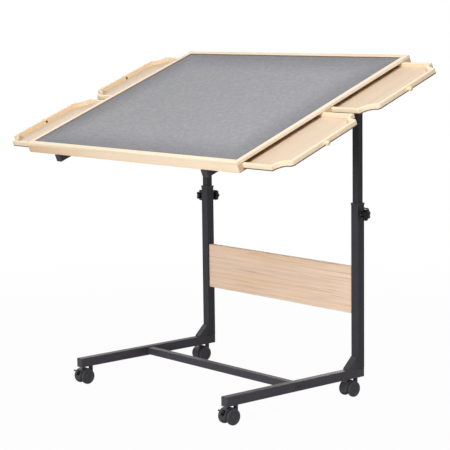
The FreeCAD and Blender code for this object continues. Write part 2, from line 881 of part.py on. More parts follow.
def brake_lever():
    # Flat arm that widens to a foot paddle, with a cross pin that turns in the housing
    arm_length = lever_tip_forward - lever_pivot_forward
    length = math.hypot(arm_length, lever_tip_rise)
    neck_y = lever_paddle_length - length
    plan = rounded_outline([
        (-lever_half_width, lever_root, 0),
        (-lever_half_width, neck_y, 0),
        (-lever_paddle_half_width, neck_y, lever_corner),
        (-lever_paddle_half_width, -length, lever_corner),
        (lever_paddle_half_width, -length, lever_corner),
        (lever_paddle_half_width, neck_y, lever_corner),
        (lever_half_width, neck_y, 0),
        (lever_half_width, lever_root, 0),
    ])
    arm = prism(plan, -lever_thickness / 2, lever_thickness / 2)
    pin = rod(lever_pin_radius, V(-lever_pin_half, 0, 0), V(lever_pin_half, 0, 0))
    lever = arm.fuse(pin)
    lever.rotate(V(0, 0, 0), X_AXIS, -math.degrees(math.atan2(lever_tip_rise, arm_length)))
    return moved(lever, 0, lever_pivot_y, lever_pivot_height)


for side, sign in sides.items():
    for end, place in zip(("front", "rear"), stem_places(sign)):
        name = "caster_" + end + "_" + side
        nodes[name + "_hood"] = [moved(caster_hood(end == "front"), place.x, place.y, 0)]
        nodes[name + "_wheels"] = [moved(disc, place.x, place.y, 0) for disc in caster_wheels()]
        if end == "front":
            nodes[name + "_brake"] = [moved(brake_lever(), place.x, place.y, 0)]

os.makedirs("parts", exist_ok=True)
for name, solids in nodes.items():
    group(solids).exportStep("parts/" + name + ".step")
print(len(nodes), "nodes")
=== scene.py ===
import math
import bmesh
import bpy
import numpy as np
from mathutils import Matrix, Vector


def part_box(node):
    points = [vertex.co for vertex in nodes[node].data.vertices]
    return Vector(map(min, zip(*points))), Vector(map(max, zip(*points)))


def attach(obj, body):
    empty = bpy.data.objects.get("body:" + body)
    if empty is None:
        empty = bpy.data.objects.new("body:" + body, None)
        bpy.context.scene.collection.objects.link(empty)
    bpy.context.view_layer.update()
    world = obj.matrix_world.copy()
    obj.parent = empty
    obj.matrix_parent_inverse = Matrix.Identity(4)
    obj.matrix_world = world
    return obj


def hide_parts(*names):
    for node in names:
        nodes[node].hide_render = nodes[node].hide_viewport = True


# Jigsaw puzzle table on a rolling stand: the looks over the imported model, in metres.
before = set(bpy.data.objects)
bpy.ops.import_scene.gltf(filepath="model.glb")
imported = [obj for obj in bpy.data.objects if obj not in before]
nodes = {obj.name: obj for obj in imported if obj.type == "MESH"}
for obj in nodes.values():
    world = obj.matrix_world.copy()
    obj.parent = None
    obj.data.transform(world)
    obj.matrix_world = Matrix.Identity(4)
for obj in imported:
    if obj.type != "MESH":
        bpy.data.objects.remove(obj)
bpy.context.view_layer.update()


# Camera, fitted to the feet, the posts and the corners of the board in the 450 x 450 frame
shot = {
    "place": (3.22079, -2.73743, 1.02041),
    "turnDeg": 49.242,  # round Z, where 0 looks along +Y
    "downDeg": 7.656,
    "rollDeg": -0.731,
    "focalPixels": 1578.2,
    "framePixels": 450,
    "sensor": 36.0,
    "farClip": 60.0,
}


def makeCamera():
    # right, up and back of the view from the turn, the look down and the roll
    turn, down, roll = (math.radians(shot[key]) for key in ("turnDeg", "downDeg", "rollDeg"))
    back = np.array([math.sin(turn) * math.cos(down), -math.cos(turn) * math.cos(down), math.sin(down)])
    level = np.array([math.cos(turn), math.sin(turn), 0.0])
    rise = np.cross(back, level)
    pose = np.eye(4)
    pose[:3, 0] = math.cos(roll) * level + math.sin(roll) * rise
    pose[:3, 1] = math.cos(roll) * rise - math.sin(roll) * level
    pose[:3, 2] = back
    pose[:3, 3] = shot["place"]
    lens = bpy.data.cameras.new("photoCamera")
    lens.sensor_width = shot["sensor"]
    lens.lens = shot["sensor"] * shot["focalPixels"] / shot["framePixels"]
    lens.clip_end = shot["farClip"]
    camera = bpy.data.objects.new("photoCamera", lens)
    camera.matrix_world = Matrix(pose.tolist())
    bpy.context.scene.collection.objects.link(camera)
    bpy.context.scene.camera = camera


makeCamera()
print("camera set")


# Board axes: x across, s up the slope from the front edge, n above the rim
board = {
    "tiltDeg": 21.7,
    "frontY": -0.302499,
    "frontZ": 0.671113,
    "halfWidth": 0.440,
    "depth": 0.640,
    "rim": 0.015,
    "panelTop": -0.004,  # n of the panel that the felt lies on
}
sides = {"left": -1.0, "right": 1.0}


def onBoard(x, s, n):
    # slope point: s and n turned by the tilt in the YZ plane, then carried to the front edge
    tilt = math.radians(board["tiltDeg"])
    y = board["frontY"] + s * math.cos(tilt) - n * math.sin(tilt)
    z = board["frontZ"] + s * math.sin(tilt) + n * math.cos(tilt)
    return np.stack(np.broadcast_arrays(x, y, z), axis=-1)


def gridFaces(rows, columns, first, loop):
    # quads between neighbours of a rows x columns grid; loop joins the last column to the first
    index = first + np.arange(rows * columns).reshape(rows, columns)
    across = np.roll(index, -1, axis=1) if loop else index[:, 1:]
    here = index if loop else index[:, :-1]
    return np.stack([here[:-1], here[1:], across[1:], across[:-1]], axis=-1).reshape(-1, 4).tolist()


def fullTurn(steps):
    # angles once round, as one row, without the first again
    return np.linspace(0.0, 2 * math.pi, steps + 1)[None, :-1]


def surfacePiece(name, grids, loop, capped, smoothDeg=35.0):
    # one mesh from several grids of points; capped closes the first and last row of each looped grid
    faces, first = [], 0
    for grid in grids:
        rows, columns = grid.shape[:2]
        faces += gridFaces(rows, columns, first, loop)
        if capped:
            ends = first + np.arange(rows * columns).reshape(rows, columns)[[0, -1]]
            faces += ends.tolist()
        first += rows * columns
    mesh = bpy.data.meshes.new(name)
    mesh.from_pydata(np.concatenate([grid.reshape(-1, 3) for grid in grids]).tolist(), [], faces)
    shell = bmesh.new()
    shell.from_mesh(mesh)
    bmesh.ops.recalc_face_normals(shell, faces=shell.faces)
    shell.to_mesh(mesh)
    shell.free()
    mesh.set_sharp_from_angle(angle=math.radians(smoothDeg))
    piece = bpy.data.objects.new(name, mesh)
    bpy.context.scene.collection.objects.link(piece)
    return piece


# Shader helpers and the effects that several finishes share

def tint(red, green, blue):
    # a colour as seen on screen, 0 to 255, turned into the linear value that shaders take
    seen = np.array([red, green, blue]) / 255.0
    linear = np.where(seen <= 0.04045, seen / 12.92, ((seen + 0.055) / 1.055) ** 2.4)
    return (*linear.tolist(), 1.0)


def put(tree, kind, values=None, **settings):
    made = tree.nodes.new(kind)
    for key, value in settings.items():
        setattr(made, key, value)
    for socket, value in (values or {}).items():
        made.inputs[socket].default_value = value
    return made


def wire(tree, *pairs):
    for source, target in pairs:
        tree.links.new(source, target)


def blendColours(tree, factor, first, second, mode="MIX"):
    # colour mix whose factor and colours may be links or plain values
    made = put(tree, "ShaderNodeMix", data_type="RGBA", blend_type=mode)
    for value, socket in ((factor, made.inputs[0]), (first, made.inputs[6]), (second, made.inputs[7])):
        if isinstance(value, bpy.types.NodeSocket):
            tree.links.new(value, socket)
        else:
            socket.default_value = value
    return made.outputs[2]


def remap(tree, source, fromLow, fromHigh, toLow, toHigh, smooth=False):
    made = put(tree, "ShaderNodeMapRange", {1: fromLow, 2: fromHigh, 3: toLow, 4: toHigh})
    made.interpolation_type = "SMOOTHSTEP" if smooth else "LINEAR"
    tree.links.new(source, made.inputs[0])
    return made.outputs[0]


def sums(tree, operation, first, second):
    made = put(tree, "ShaderNodeMath", operation=operation)
    for value, socket in ((first, made.inputs[0]), (second, made.inputs[1])):
        if isinstance(value, bpy.types.NodeSocket):
            tree.links.new(value, socket)
        else:
            socket.default_value = value
    return made.outputs[0]


def magnitude(tree, value):
    return sums(tree, "ABSOLUTE", value, 0.0)


def scaled(tree, vector, factors):
    made = put(tree, "ShaderNodeVectorMath", {1: factors}, operation="MULTIPLY")
    tree.links.new(vector, made.inputs[0])
    return made.outputs[0]


def noise(tree, vector, scale, detail, roughness=0.5):
    made = put(tree, "ShaderNodeTexNoise", {"Scale": scale, "Detail": detail, "Roughness": roughness})
    tree.links.new(vector, made.inputs["Vector"])
    return made.outputs[0]


def newGroup(name, inputs, outputs):
    group = bpy.data.node_groups.new(name, "ShaderNodeTree")
    for label, kind, value in inputs:
        socket = group.interface.new_socket(label, in_out="INPUT", socket_type=kind)
        if value is not None:
            socket.default_value = value
    for label, kind in outputs:
        group.interface.new_socket(label, in_out="OUTPUT", socket_type=kind)
    return group, group.nodes.new("NodeGroupInput").outputs, group.nodes.new("NodeGroupOutput").inputs


noiseSpread = (0.3, 0.7)  # where most values of a noise texture lie

# Sawn wood: a stretch is the pattern's scale along the grain and across it,
# and a tone goes from pale, 0, to honey, 1
grain = {
    "knotSpacing": (5.0, 15.0, 15.0),
    "knotCore": (0.55, 1.0),  # distances from a knot's middle, in knot sizes
    "knotHalo": (0.6, 2.4),
    "knotReach": 5.0,
    "haloShare": 0.45,
    "knotPush": 0.012,  # how far a knot moves the rings aside
    "ringStretch": (0.03, 1.0, 1.0),
    "pith": (0.31, 0.083, -0.064),
    "lateWood": ((0.10, 0.0), (0.88, 1.0), (0.98, 0.05)),  # place within a ring, and how dark it is
    "lateHeight": 0.5,
    "fibreStretch": (9.0, 620.0, 620.0),
    "fibreTone": (-0.5, 0.5),
    "streakStretch": (2.4, 46.0, 46.0),
    "streakSpread": (0.30, 0.72),
    "streakTone": (-0.12, 0.34),
    "patchStretch": (1.6, 9.0, 9.0),
    "patchTone": (-0.14, 0.18),
    "roughness": (0.62, 0.48),  # of the pale and of the honey wood
}


def makeWoodFigure():
    # growth rings round a far pith, drawn out along the grain and bent round a few knots, under fine fibres
    group, given, out = newGroup(
        "woodFigure",
        [
            ("Vector", "NodeSocketVector", None),
            ("Pale", "NodeSocketColor", None),
            ("Honey", "NodeSocketColor", None),
            ("Knot", "NodeSocketColor", None),
            ("Ring Scale", "NodeSocketFloat", 40.0),
            ("Ring Share", "NodeSocketFloat", 0.5),
            ("Fibre Share", "NodeSocketFloat", 0.3),
            ("Knot Size", "NodeSocketFloat", 0.06),
        ],
        [("Color", "NodeSocketColor"), ("Roughness", "NodeSocketFloat"), ("Height", "NodeSocketFloat")],
    )
    here = given["Vector"]
    cells = put(group, "ShaderNodeTexVoronoi", {"Scale": 1.0, "Randomness": 1.0})
    wire(group, (scaled(group, here, grain["knotSpacing"]), cells.inputs["Vector"]))
    nearKnot = sums(group, "DIVIDE", cells.outputs["Distance"], given["Knot Size"])
    knotCore = remap(group, nearKnot, *grain["knotCore"], 1.0, 0.0, smooth=True)
    knotPull = remap(group, nearKnot, 0.0, grain["knotReach"], grain["knotPush"], 0.0, smooth=True)
    # rings: distance from the pith after the knots have pushed the wood aside
    bent = put(group, "ShaderNodeCombineXYZ")
    wire(group, (knotPull, bent.inputs[1]), (knotPull, bent.inputs[2]))
    moved = put(group, "ShaderNodeVectorMath", operation="ADD")
    drawnOut = scaled(group, here, grain["ringStretch"])
    wire(group, (drawnOut, moved.inputs[0]), (bent.outputs[0], moved.inputs[1]))
    fromPith = put(group, "ShaderNodeVectorMath", {1: grain["pith"]}, operation="ADD")
    wire(group, (moved.outputs[0], fromPith.inputs[0]))
    rings = put(
        group,
        "ShaderNodeTexWave",
        {"Distortion": 5.5, "Detail": 2.0, "Detail Scale": 0.55, "Detail Roughness": 0.5},
        wave_type="RINGS",
        rings_direction="X",
        wave_profile="SAW",
    )
    wire(group, (fromPith.outputs[0], rings.inputs["Vector"]), (given["Ring Scale"], rings.inputs["Scale"]))
    late = put(group, "ShaderNodeValToRGB")
    late.color_ramp.interpolation = "EASE"
    late.color_ramp.elements.new(0.5)
    for stop, (place, dark) in zip(late.color_ramp.elements, grain["lateWood"]):
        stop.position = place
        stop.color = (dark, dark, dark, 1.0)
    wire(group, (rings.outputs[1], late.inputs[0]))
    fibres = noise(group, scaled(group, here, grain["fibreStretch"]), 1.0, 3.0, 0.6)
    streaks = noise(group, scaled(group, here, grain["streakStretch"]), 1.0, 2.0)
    patches = noise(group, scaled(group, here, grain["patchStretch"]), 1.0, 1.0)
    fibreTone = remap(group, fibres, *noiseSpread, *grain["fibreTone"])
    tone = sums(group, "MULTIPLY", late.outputs[0], given["Ring Share"])
    for part in (
        sums(group, "MULTIPLY", fibreTone, given["Fibre Share"]),
        remap(group, streaks, *grain["streakSpread"], *grain["streakTone"]),
        remap(group, patches, *noiseSpread, *grain["patchTone"]),
    ):
        tone = sums(group, "ADD", tone, part)
    body = blendColours(group, tone, given["Pale"], given["Honey"])
    halo = remap(group, nearKnot, *grain["knotHalo"], grain["haloShare"], 0.0, smooth=True)
    stained = blendColours(group, halo, body, given["Honey"])
    ridges = sums(group, "MULTIPLY", late.outputs[0], grain["lateHeight"])
    wire(
        group,
        (blendColours(group, knotCore, stained, given["Knot"]), out["Color"]),
        (remap(group, tone, 0.0, 1.0, *grain["roughness"]), out["Roughness"]),
        (sums(group, "ADD", fibres, ridges), out["Height"]),
    )
    return group


# Orange peel of a coated or moulded skin
peel = {
    "cloudScale": 26.0,
    "cloudShare": 0.7,
    "pitShare": 0.3,
}


def makeMouldedSkin():
    # two tones in soft clouds, small pits and a wandering gloss
    group, given, out = newGroup(
        "mouldedSkin",
        [
            ("Vector", "NodeSocketVector", None),
            ("Dark", "NodeSocketColor", None),
            ("Light", "NodeSocketColor", None),
            ("Grain Scale", "NodeSocketFloat", 900.0),
            ("Gloss Low", "NodeSocketFloat", 0.4),
            ("Gloss High", "NodeSocketFloat", 0.55),
        ],
        [("Color", "NodeSocketColor"), ("Roughness", "NodeSocketFloat"), ("Height", "NodeSocketFloat")],
    )
    clouds = noise(group, given["Vector"], peel["cloudScale"], 3.0, 0.55)
    pits = put(group, "ShaderNodeTexNoise", {"Detail": 2.0, "Roughness": 0.5})
    wire(group, (given["Vector"], pits.inputs["Vector"]), (given["Grain Scale"], pits.inputs["Scale"]))
    cloudTone = remap(group, clouds, *noiseSpread, 0.0, peel["cloudShare"])
    pitTone = remap(group, pits.outputs[0], *noiseSpread, 0.0, peel["pitShare"])
    mottle = sums(group, "ADD", cloudTone, pitTone)
    gloss = put(group, "ShaderNodeMapRange", {1: noiseSpread[0], 2: noiseSpread[1]})
    wire(
        group,
        (clouds, gloss.inputs[0]),
        (given["Gloss Low"], gloss.inputs[3]),
        (given["Gloss High"], gloss.inputs[4]),
        (blendColours(group, mottle, given["Dark"], given["Light"]), out["Color"]),
        (gloss.outputs[0], out["Roughness"]),
        (pits.outputs[0], out["Height"]),
    )
    return group


edgeTurn = {"samples": 6, "sharp": 0.78, "flat": 0.985}  # cosines of the turn: full edge, no edge


def makeEasedEdge():
    # edge mask: how far the surface normal turns when it is averaged over a small radius
    group, given, out = newGroup(
        "easedEdge",
        [("Radius", "NodeSocketFloat", 0.001)],
        [("Edge", "NodeSocketFloat"), ("Normal", "NodeSocketVector")],
    )
    eased = put(group, "ShaderNodeBevel", samples=edgeTurn["samples"])
    wire(group, (given["Radius"], eased.inputs["Radius"]))
    flat = put(group, "ShaderNodeNewGeometry")
    same = put(group, "ShaderNodeVectorMath", operation="DOT_PRODUCT")
    wire(group, (eased.outputs[0], same.inputs[0]), (flat.outputs["Normal"], same.inputs[1]))
    mask = remap(group, same.outputs["Value"], edgeTurn["sharp"], edgeTurn["flat"], 1.0, 0.0, smooth=True)
    wire(group, (mask, out["Edge"]), (eased.outputs[0], out["Normal"]))
    return group


woodFigure = makeWoodFigure()
mouldedSkin = makeMouldedSkin()
easedEdge = makeEasedEdge()


def newFinish(name):
    # empty material with its principled shader and the object's own coordinates
    material = bpy.data.materials.new(name)
    material.use_nodes = True
    tree = material.node_tree
    shader = tree.nodes["Principled BSDF"]
    here = put(tree, "ShaderNodeTexCoord").outputs["Object"]
    return material, tree, shader, here


def bumpInto(tree, shader, height, strength, distance, normal=None):
    bump = put(tree, "ShaderNodeBump", {"Strength": strength, "Distance": distance})
    wire(tree, (height, bump.inputs["Height"]), (bump.outputs[0], shader.inputs["Normal"]))
    if normal is not None:
        wire(tree, (normal, bump.inputs["Normal"]))


def slopePlace(tree, here):
    # the object's coordinates in board axes: the vector, and its x, s and n
    values = {
        "Location": (0.0, board["frontY"], board["frontZ"]),
        "Rotation": (math.radians(board["tiltDeg"]), 0.0, 0.0),
    }
    slope = put(tree, "ShaderNodeMapping", values, vector_type="TEXTURE")
    parts = put(tree, "ShaderNodeSeparateXYZ")
    wire(tree, (here, slope.inputs[0]), (slope.outputs[0], parts.inputs[0]))
    return slope.outputs[0], parts.outputs


def facing(tree, axis):
    # how squarely the surface faces along an axis, either way
    parts = put(tree, "ShaderNodeSeparateXYZ")
    wire(tree, (put(tree, "ShaderNodeNewGeometry").outputs["True Normal"], parts.inputs[0]))
    return magnitude(tree, parts.outputs[axis])


# Woods of board and drawers: the grain runs along x or s, and the shift picks another stretch of the log
woods = {
    "pineAcross": {
        "along": "x", "pale": (246, 228, 202), "honey": (233, 204, 165), "knot": (158, 104, 58),
        "ringScale": 30.0, "ringShare": 0.42, "fibreShare": 0.34, "knotSize": 0.030,
        "shift": (0.0, 0.0, 0.0),
    },
    "pineDeep": {
        "along": "s", "pale": (244, 229, 210), "honey": (233, 208, 176), "knot": (158, 104, 58),
        "ringScale": 30.0, "ringShare": 0.40, "fibreShare": 0.34, "knotSize": 0.055,
        "shift": (0.4, 0.05, 0.02),
    },
    "pineApron": {
        "along": "x", "pale": (247, 227, 201), "honey": (234, 204, 167), "knot": (150, 98, 55),
        "ringScale": 27.0, "ringShare": 0.46, "fibreShare": 0.36, "knotSize": 0.060,
        "shift": (0.9, 0.11, 0.03),
    },
    "pineSide": {
        "along": "x", "pale": (244, 227, 202), "honey": (230, 203, 164), "knot": (140, 88, 46),
        "ringScale": 34.0, "ringShare": 0.32, "fibreShare": 0.34, "knotSize": 0.075,
        "shift": (1.7, 0.02, 0.07),
    },
    # the right drawers' ends: a paler copy of the pine, painted light
    "pineFrontLit": {
        "along": "s", "pale": (251, 231, 204), "honey": (237, 207, 166), "knot": (140, 88, 46),
        "ringScale": 34.0, "ringShare": 0.20, "fibreShare": 0.30, "knotSize": 0.075,
        "shift": (2.3, 0.07, 0.01),
    },
    # the left drawers' ends: a darker copy of the same pine, painted shade
    "pineFrontShaded": {
        "along": "s", "pale": (236, 211, 177), "honey": (222, 188, 142), "knot": (140, 88, 46),
        "ringScale": 34.0, "ringShare": 0.20, "fibreShare": 0.30, "knotSize": 0.075,
        "shift": (2.7, 0.03, 0.06),
    },
    "pinePull": {
        "along": "x", "pale": (245, 226, 194), "honey": (226, 190, 142), "knot": (150, 98, 55),
        "ringScale": 60.0, "ringShare": 0.50, "fibreShare": 0.36, "knotSize": 0.010,
        "shift": (3.1, 0.03, 0.05),
    },
    "trayPanel": {
        "along": "s", "pale": (224, 204, 180), "honey": (211, 185, 152), "knot": (150, 100, 58),
        "ringScale": 15.0, "ringShare": 0.14, "fibreShare": 0.26, "knotSize": 0.050,
        "shift": (4.2, 0.13, 0.04),
    },
    "hardPanel": {
        "along": "x", "pale": (150, 106, 66), "honey": (124, 82, 46), "knot": (92, 60, 32),
        "ringScale": 9.0, "ringShare": 0.12, "fibreShare": 0.40, "knotSize": 0.010,
        "shift": (5.3, 0.02, 0.09),
    },
}
planed = {
    "edgeRadius": 0.0012,
    "edgeWear": 0.22,  # how far an edge is rubbed to the pale tone
    "specular": 0.22,
    "bump": 0.22,
    "bumpDepth": 0.0006,
}
sawnEnd = {"colour": (208, 178, 144), "facing": (0.80, 0.95), "share": 0.9}  # end grain of strips along x
# Painted shade along the foot of the drawer walls, by height n, and painted shade towards the left end of
# the aprons, by x
paintedFootShade = {"colour": (84, 58, 36), "from": -0.0212, "to": -0.0200, "share": 0.95}
paintedEndShade = {"colour": (228, 206, 184), "from": -0.08, "to": -0.44, "share": 0.9}

# Painted shadow on the inner faces of the rim, just over the felt
paintedRimShadow = {
    "colour": (140, 112, 86),
    "share": 0.9,
    "past": 0.0004,  # how far the mask reaches into the rim
    "blur": 0.0002,
    "foot": -0.0045,  # heights n: its lower end, where it starts to fade, where it is gone
    "from": -0.0013,
    "to": -0.0006,
}


def paintedRimShadowMask(tree, place):
    # mask of the painted shadow: product of three steps: inside in x, inside in s, and the heights that the
    # inner faces cover
    fromMiddle = sums(tree, "SUBTRACT", place[1], board["depth"] / 2)
    inside = []
    for offset, half in ((place[0], board["halfWidth"]), (fromMiddle, board["depth"] / 2)):
        limit = half - board["rim"] + paintedRimShadow["past"]
        inside.append(remap(tree, magnitude(tree, offset), limit, limit + paintedRimShadow["blur"], 1.0, 0.0))
    below = remap(tree, place[2], paintedRimShadow["from"], paintedRimShadow["to"], paintedRimShadow["share"], 0.0, smooth=True)
    above = remap(tree, place[2], paintedRimShadow["foot"], paintedRimShadow["foot"] + paintedRimShadow["blur"], 0.0, 1.0)
    return sums(tree, "MULTIPLY", sums(tree, "MULTIPLY", *inside), sums(tree, "MULTIPLY", below, above))


def figureValues(wood):
    # inputs of the wood figure, from a wood's own values
    values = {name.capitalize(): tint(*wood[name]) for name in ("pale", "honey", "knot")}
    values["Ring Scale"] = wood["ringScale"]
    values["Ring Share"] = wood["ringShare"]
    values["Fibre Share"] = wood["fibreShare"]
    values["Knot Size"] = wood["knotSize"]
    return values


def makeBoardWood(name):
    # wood figure in board axes with rubbed edges,
    # and on some strips sawn ends, painted shade along the foot, a painted shadow over the felt or painted
    # shade towards one end
    wood = woods[name]
    material, tree, shader, here = newFinish(name)
    slope, place = slopePlace(tree, here)
    turn = math.radians(90.0) if wood["along"] == "s" else 0.0
    turned = put(tree, "ShaderNodeMapping", {"Location": wood["shift"], "Rotation": (0.0, 0.0, turn)})
    figure = put(tree, "ShaderNodeGroup", figureValues(wood), node_tree=woodFigure)
    edge = put(tree, "ShaderNodeGroup", {"Radius": planed["edgeRadius"]}, node_tree=easedEdge)
    wire(tree, (slope, turned.inputs[0]), (turned.outputs[0], figure.inputs["Vector"]))
    share = remap(tree, edge.outputs["Edge"], 0.0, 1.0, 0.0, planed["edgeWear"])
    colour = blendColours(tree, share, figure.outputs["Color"], tint(*wood["pale"]))
    if name in ("pineSide", "pineFrontLit", "pineFrontShaded"):
        # painted shade: the drawer walls darken along their foot, just over the bottom
        reach = (paintedFootShade["from"], paintedFootShade["to"])
        share = remap(tree, place[2], *reach, paintedFootShade["share"], 0.0, smooth=True)
        colour = blendColours(tree, share, colour, tint(*paintedFootShade["colour"]))
    elif wood["along"] == "x":
        share = remap(tree, facing(tree, 0), *sawnEnd["facing"], 0.0, sawnEnd["share"])
        colour = blendColours(tree, share, colour, tint(*sawnEnd["colour"]))
    if name in ("pineAcross", "pineDeep"):
        # painted shadow on the inner faces of the rim, just over the felt
        colour = blendColours(tree, paintedRimShadowMask(tree, place), colour, tint(*paintedRimShadow["colour"]))
    elif name == "pineApron":
        # painted shade: the apron darkens towards its left end
        share = remap(tree, place[0], paintedEndShade["from"], paintedEndShade["to"], 0.0, paintedEndShade["share"])
        colour = blendColours(tree, share, colour, tint(*paintedEndShade["colour"]), "MULTIPLY")
    roughness = figure.outputs["Roughness"]
    wire(tree, (colour, shader.inputs["Base Color"]), (roughness, shader.inputs["Roughness"]))
    shader.inputs["Specular IOR Level"].default_value = planed["specular"]
    height = figure.outputs["Height"]
    bumpInto(tree, shader, height, planed["bump"], planed["bumpDepth"], edge.outputs["Normal"])
    return material


boardWoods = {name: makeBoardWood(name) for name in woods}

coats = {
    # name: dark, light, grain scale, gloss low and high, bump strength, metallic, specular level,
    # how far its edges are rubbed
    "blackCoat": ((55, 54, 59), (63, 62, 67), 700.0, 0.34, 0.44, 0.10, 0.0, 0.10, 0.30),
    # painted light: a lighter copy of the black coat, for the parts near the floor
    "blackCoatLit": ((64, 62, 67), (73, 71, 76), 700.0, 0.34, 0.44, 0.10, 0.0, 0.12, 0.30),
    "moulded": ((34, 34, 37), (44, 44, 48), 1100.0, 0.42, 0.58, 0.16, 0.0, 0.36, 0.22),
    "capMoulded": ((46, 46, 49), (56, 56, 60), 1100.0, 0.46, 0.60, 0.16, 0.0, 0.40, 0.25),
    "knobMoulded": ((12, 12, 13), (20, 20, 22), 1100.0, 0.12, 0.20, 0.06, 0.0, 0.18, 0.20),
    "wheelTread": ((42, 42, 45), (56, 56, 60), 800.0, 0.50, 0.68, 0.20, 0.0, 0.35, 0.20),
    "zincSteel": ((168, 170, 172), (196, 198, 200), 1500.0, 0.26, 0.40, 0.05, 1.0, 0.50, 0.30),
    "boltBlack": ((14, 14, 15), (24, 24, 26), 1400.0, 0.24, 0.36, 0.08, 0.2, 0.40, 0.35),
    "screwBronze": ((74, 52, 26), (104, 78, 42), 1600.0, 0.34, 0.48, 0.08, 0.7, 0.50, 0.30),
}


coatSkin = {"edgeRadius": 0.0009, "rubLift": 34, "bumpDepth": 0.0004}  # edges rub a little lighter


def makeCoat(name):
    dark, light, grainScale, glossLow, glossHigh, bumpStrength, metallic, specular, wornShare = coats[name]
    material, tree, shader, here = newFinish(name)
    values = {
        "Dark": tint(*dark),
        "Light": tint(*light),
        "Grain Scale": grainScale,
        "Gloss Low": glossLow,
        "Gloss High": glossHigh,
    }
    skin = put(tree, "ShaderNodeGroup", values, node_tree=mouldedSkin)
    edge = put(tree, "ShaderNodeGroup", {"Radius": coatSkin["edgeRadius"]}, node_tree=easedEdge)
    wire(tree, (here, skin.inputs["Vector"]))
    rubbed = tint(*(min(255, part + coatSkin["rubLift"]) for part in light))
    share = remap(tree, edge.outputs["Edge"], 0.0, 1.0, 0.0, wornShare)
    colour = blendColours(tree, share, skin.outputs["Color"], rubbed)
    roughness = skin.outputs["Roughness"]
    wire(tree, (colour, shader.inputs["Base Color"]), (roughness, shader.inputs["Roughness"]))
    shader.inputs["Metallic"].default_value = metallic
    shader.inputs["Specular IOR Level"].default_value = specular
    height = skin.outputs["Height"]
    bumpInto(tree, shader, height, bumpStrength, coatSkin["bumpDepth"], edge.outputs["Normal"])
    return material


coatings = {name: makeCoat(name) for name in coats}

oak = {
    "pale": (248, 223, 198),
    "honey": (233, 202, 175),
    "knot": (196, 156, 127),  # also the colour of the pores
    "ringScale": 22.0,
    "ringShare": 0.42,
    "fibreShare": 0.60,
    "knotSize": 0.004,
    "shift": (0.2, -0.31, -0.27),
    "poreStretch": (4.0, 230.0, 230.0),
    "poreSpread": (0.54, 0.70),
    "poreShare": 0.75,
    "glow": (252, 238, 219),  # warmer streaks between the pores
    "glowStretch": (1.5, 40.0, 40.0),
    "glowSpread": (0.46, 0.66),
    "glowShare": 0.5,
    "band": (206, 176, 146),  # the thin strip glued along the long edges
    "bandFacing": (0.5, 0.9),
    "bandShare": 0.8,
    "edgeRadius": 0.0010,
    "specular": 0.35,
    "bump": 0.10,
    "bumpDepth": 0.0003,
}


def makeOakBoard():
    # printed oak face: the wood figure with long fine pores, and a darker band along its long edges
    material, tree, shader, here = newFinish("oakBoard")
    shift = put(tree, "ShaderNodeMapping", {"Location": oak["shift"]})
    figure = put(tree, "ShaderNodeGroup", figureValues(oak), node_tree=woodFigure)
    edge = put(tree, "ShaderNodeGroup", {"Radius": oak["edgeRadius"]}, node_tree=easedEdge)
    wire(tree, (here, shift.inputs[0]), (shift.outputs[0], figure.inputs["Vector"]))
    pores = noise(tree, scaled(tree, here, oak["poreStretch"]), 1.0, 2.0, 0.7)
    share = remap(tree, pores, *oak["poreSpread"], 0.0, oak["poreShare"], smooth=True)
    colour = blendColours(tree, share, figure.outputs["Color"], tint(*oak["knot"]))
    glow = noise(tree, scaled(tree, here, oak["glowStretch"]), 1.0, 2.0, 0.6)
    share = remap(tree, glow, *oak["glowSpread"], 0.0, oak["glowShare"], smooth=True)
    colour = blendColours(tree, share, colour, tint(*oak["glow"]), "MULTIPLY")
    share = remap(tree, facing(tree, 2), *oak["bandFacing"], 0.0, oak["bandShare"])
    colour = blendColours(tree, share, colour, tint(*oak["band"]))
    roughness = figure.outputs["Roughness"]
    wire(tree, (colour, shader.inputs["Base Color"]), (roughness, shader.inputs["Roughness"]))
    shader.inputs["Specular IOR Level"].default_value = oak["specular"]
    bumpInto(tree, shader, pores, oak["bump"], oak["bumpDepth"], edge.outputs["Normal"])
    return material


oakBoard = makeOakBoard()

feltLook = {
    "dark": (141, 141, 145),
    "mid": (165, 165, 168),
    "light": (192, 192, 194),
    "heatherScale": 420.0,
    "heatherSpread": (0.34, 0.62),
    "hairScale": 1500.0,
    "hairSpread": (0.50, 0.72),
    "hairShare": 0.75,
    "mottleScale": 85.0,
    "mottleSpread": (0.36, 0.64),
    "mottleShare": 0.75,
    "cloudScale": 19.0,
    "cloudSpread": (0.30, 0.72),
    "cloudShare": 0.22,
    "paintedEdgeShade": (216, 216, 218),  # painted shade: the felt darkens towards the rim
    "paintedShadeReach": 0.14,
    "frontEase": 0.012,  # the painted shade is weaker along the front edge
    "joint": (200, 190, 180),  # painted shadow line along the rim
    "rimShadowReach": (0.0160, 0.0200),
    "roughness": (0.98, 0.86),
    "specular": 0.12,
    "sheen": 0.12,
    "sheenRoughness": 0.6,
    "bump": 0.55,
    "bumpDepth": 0.0005,
}


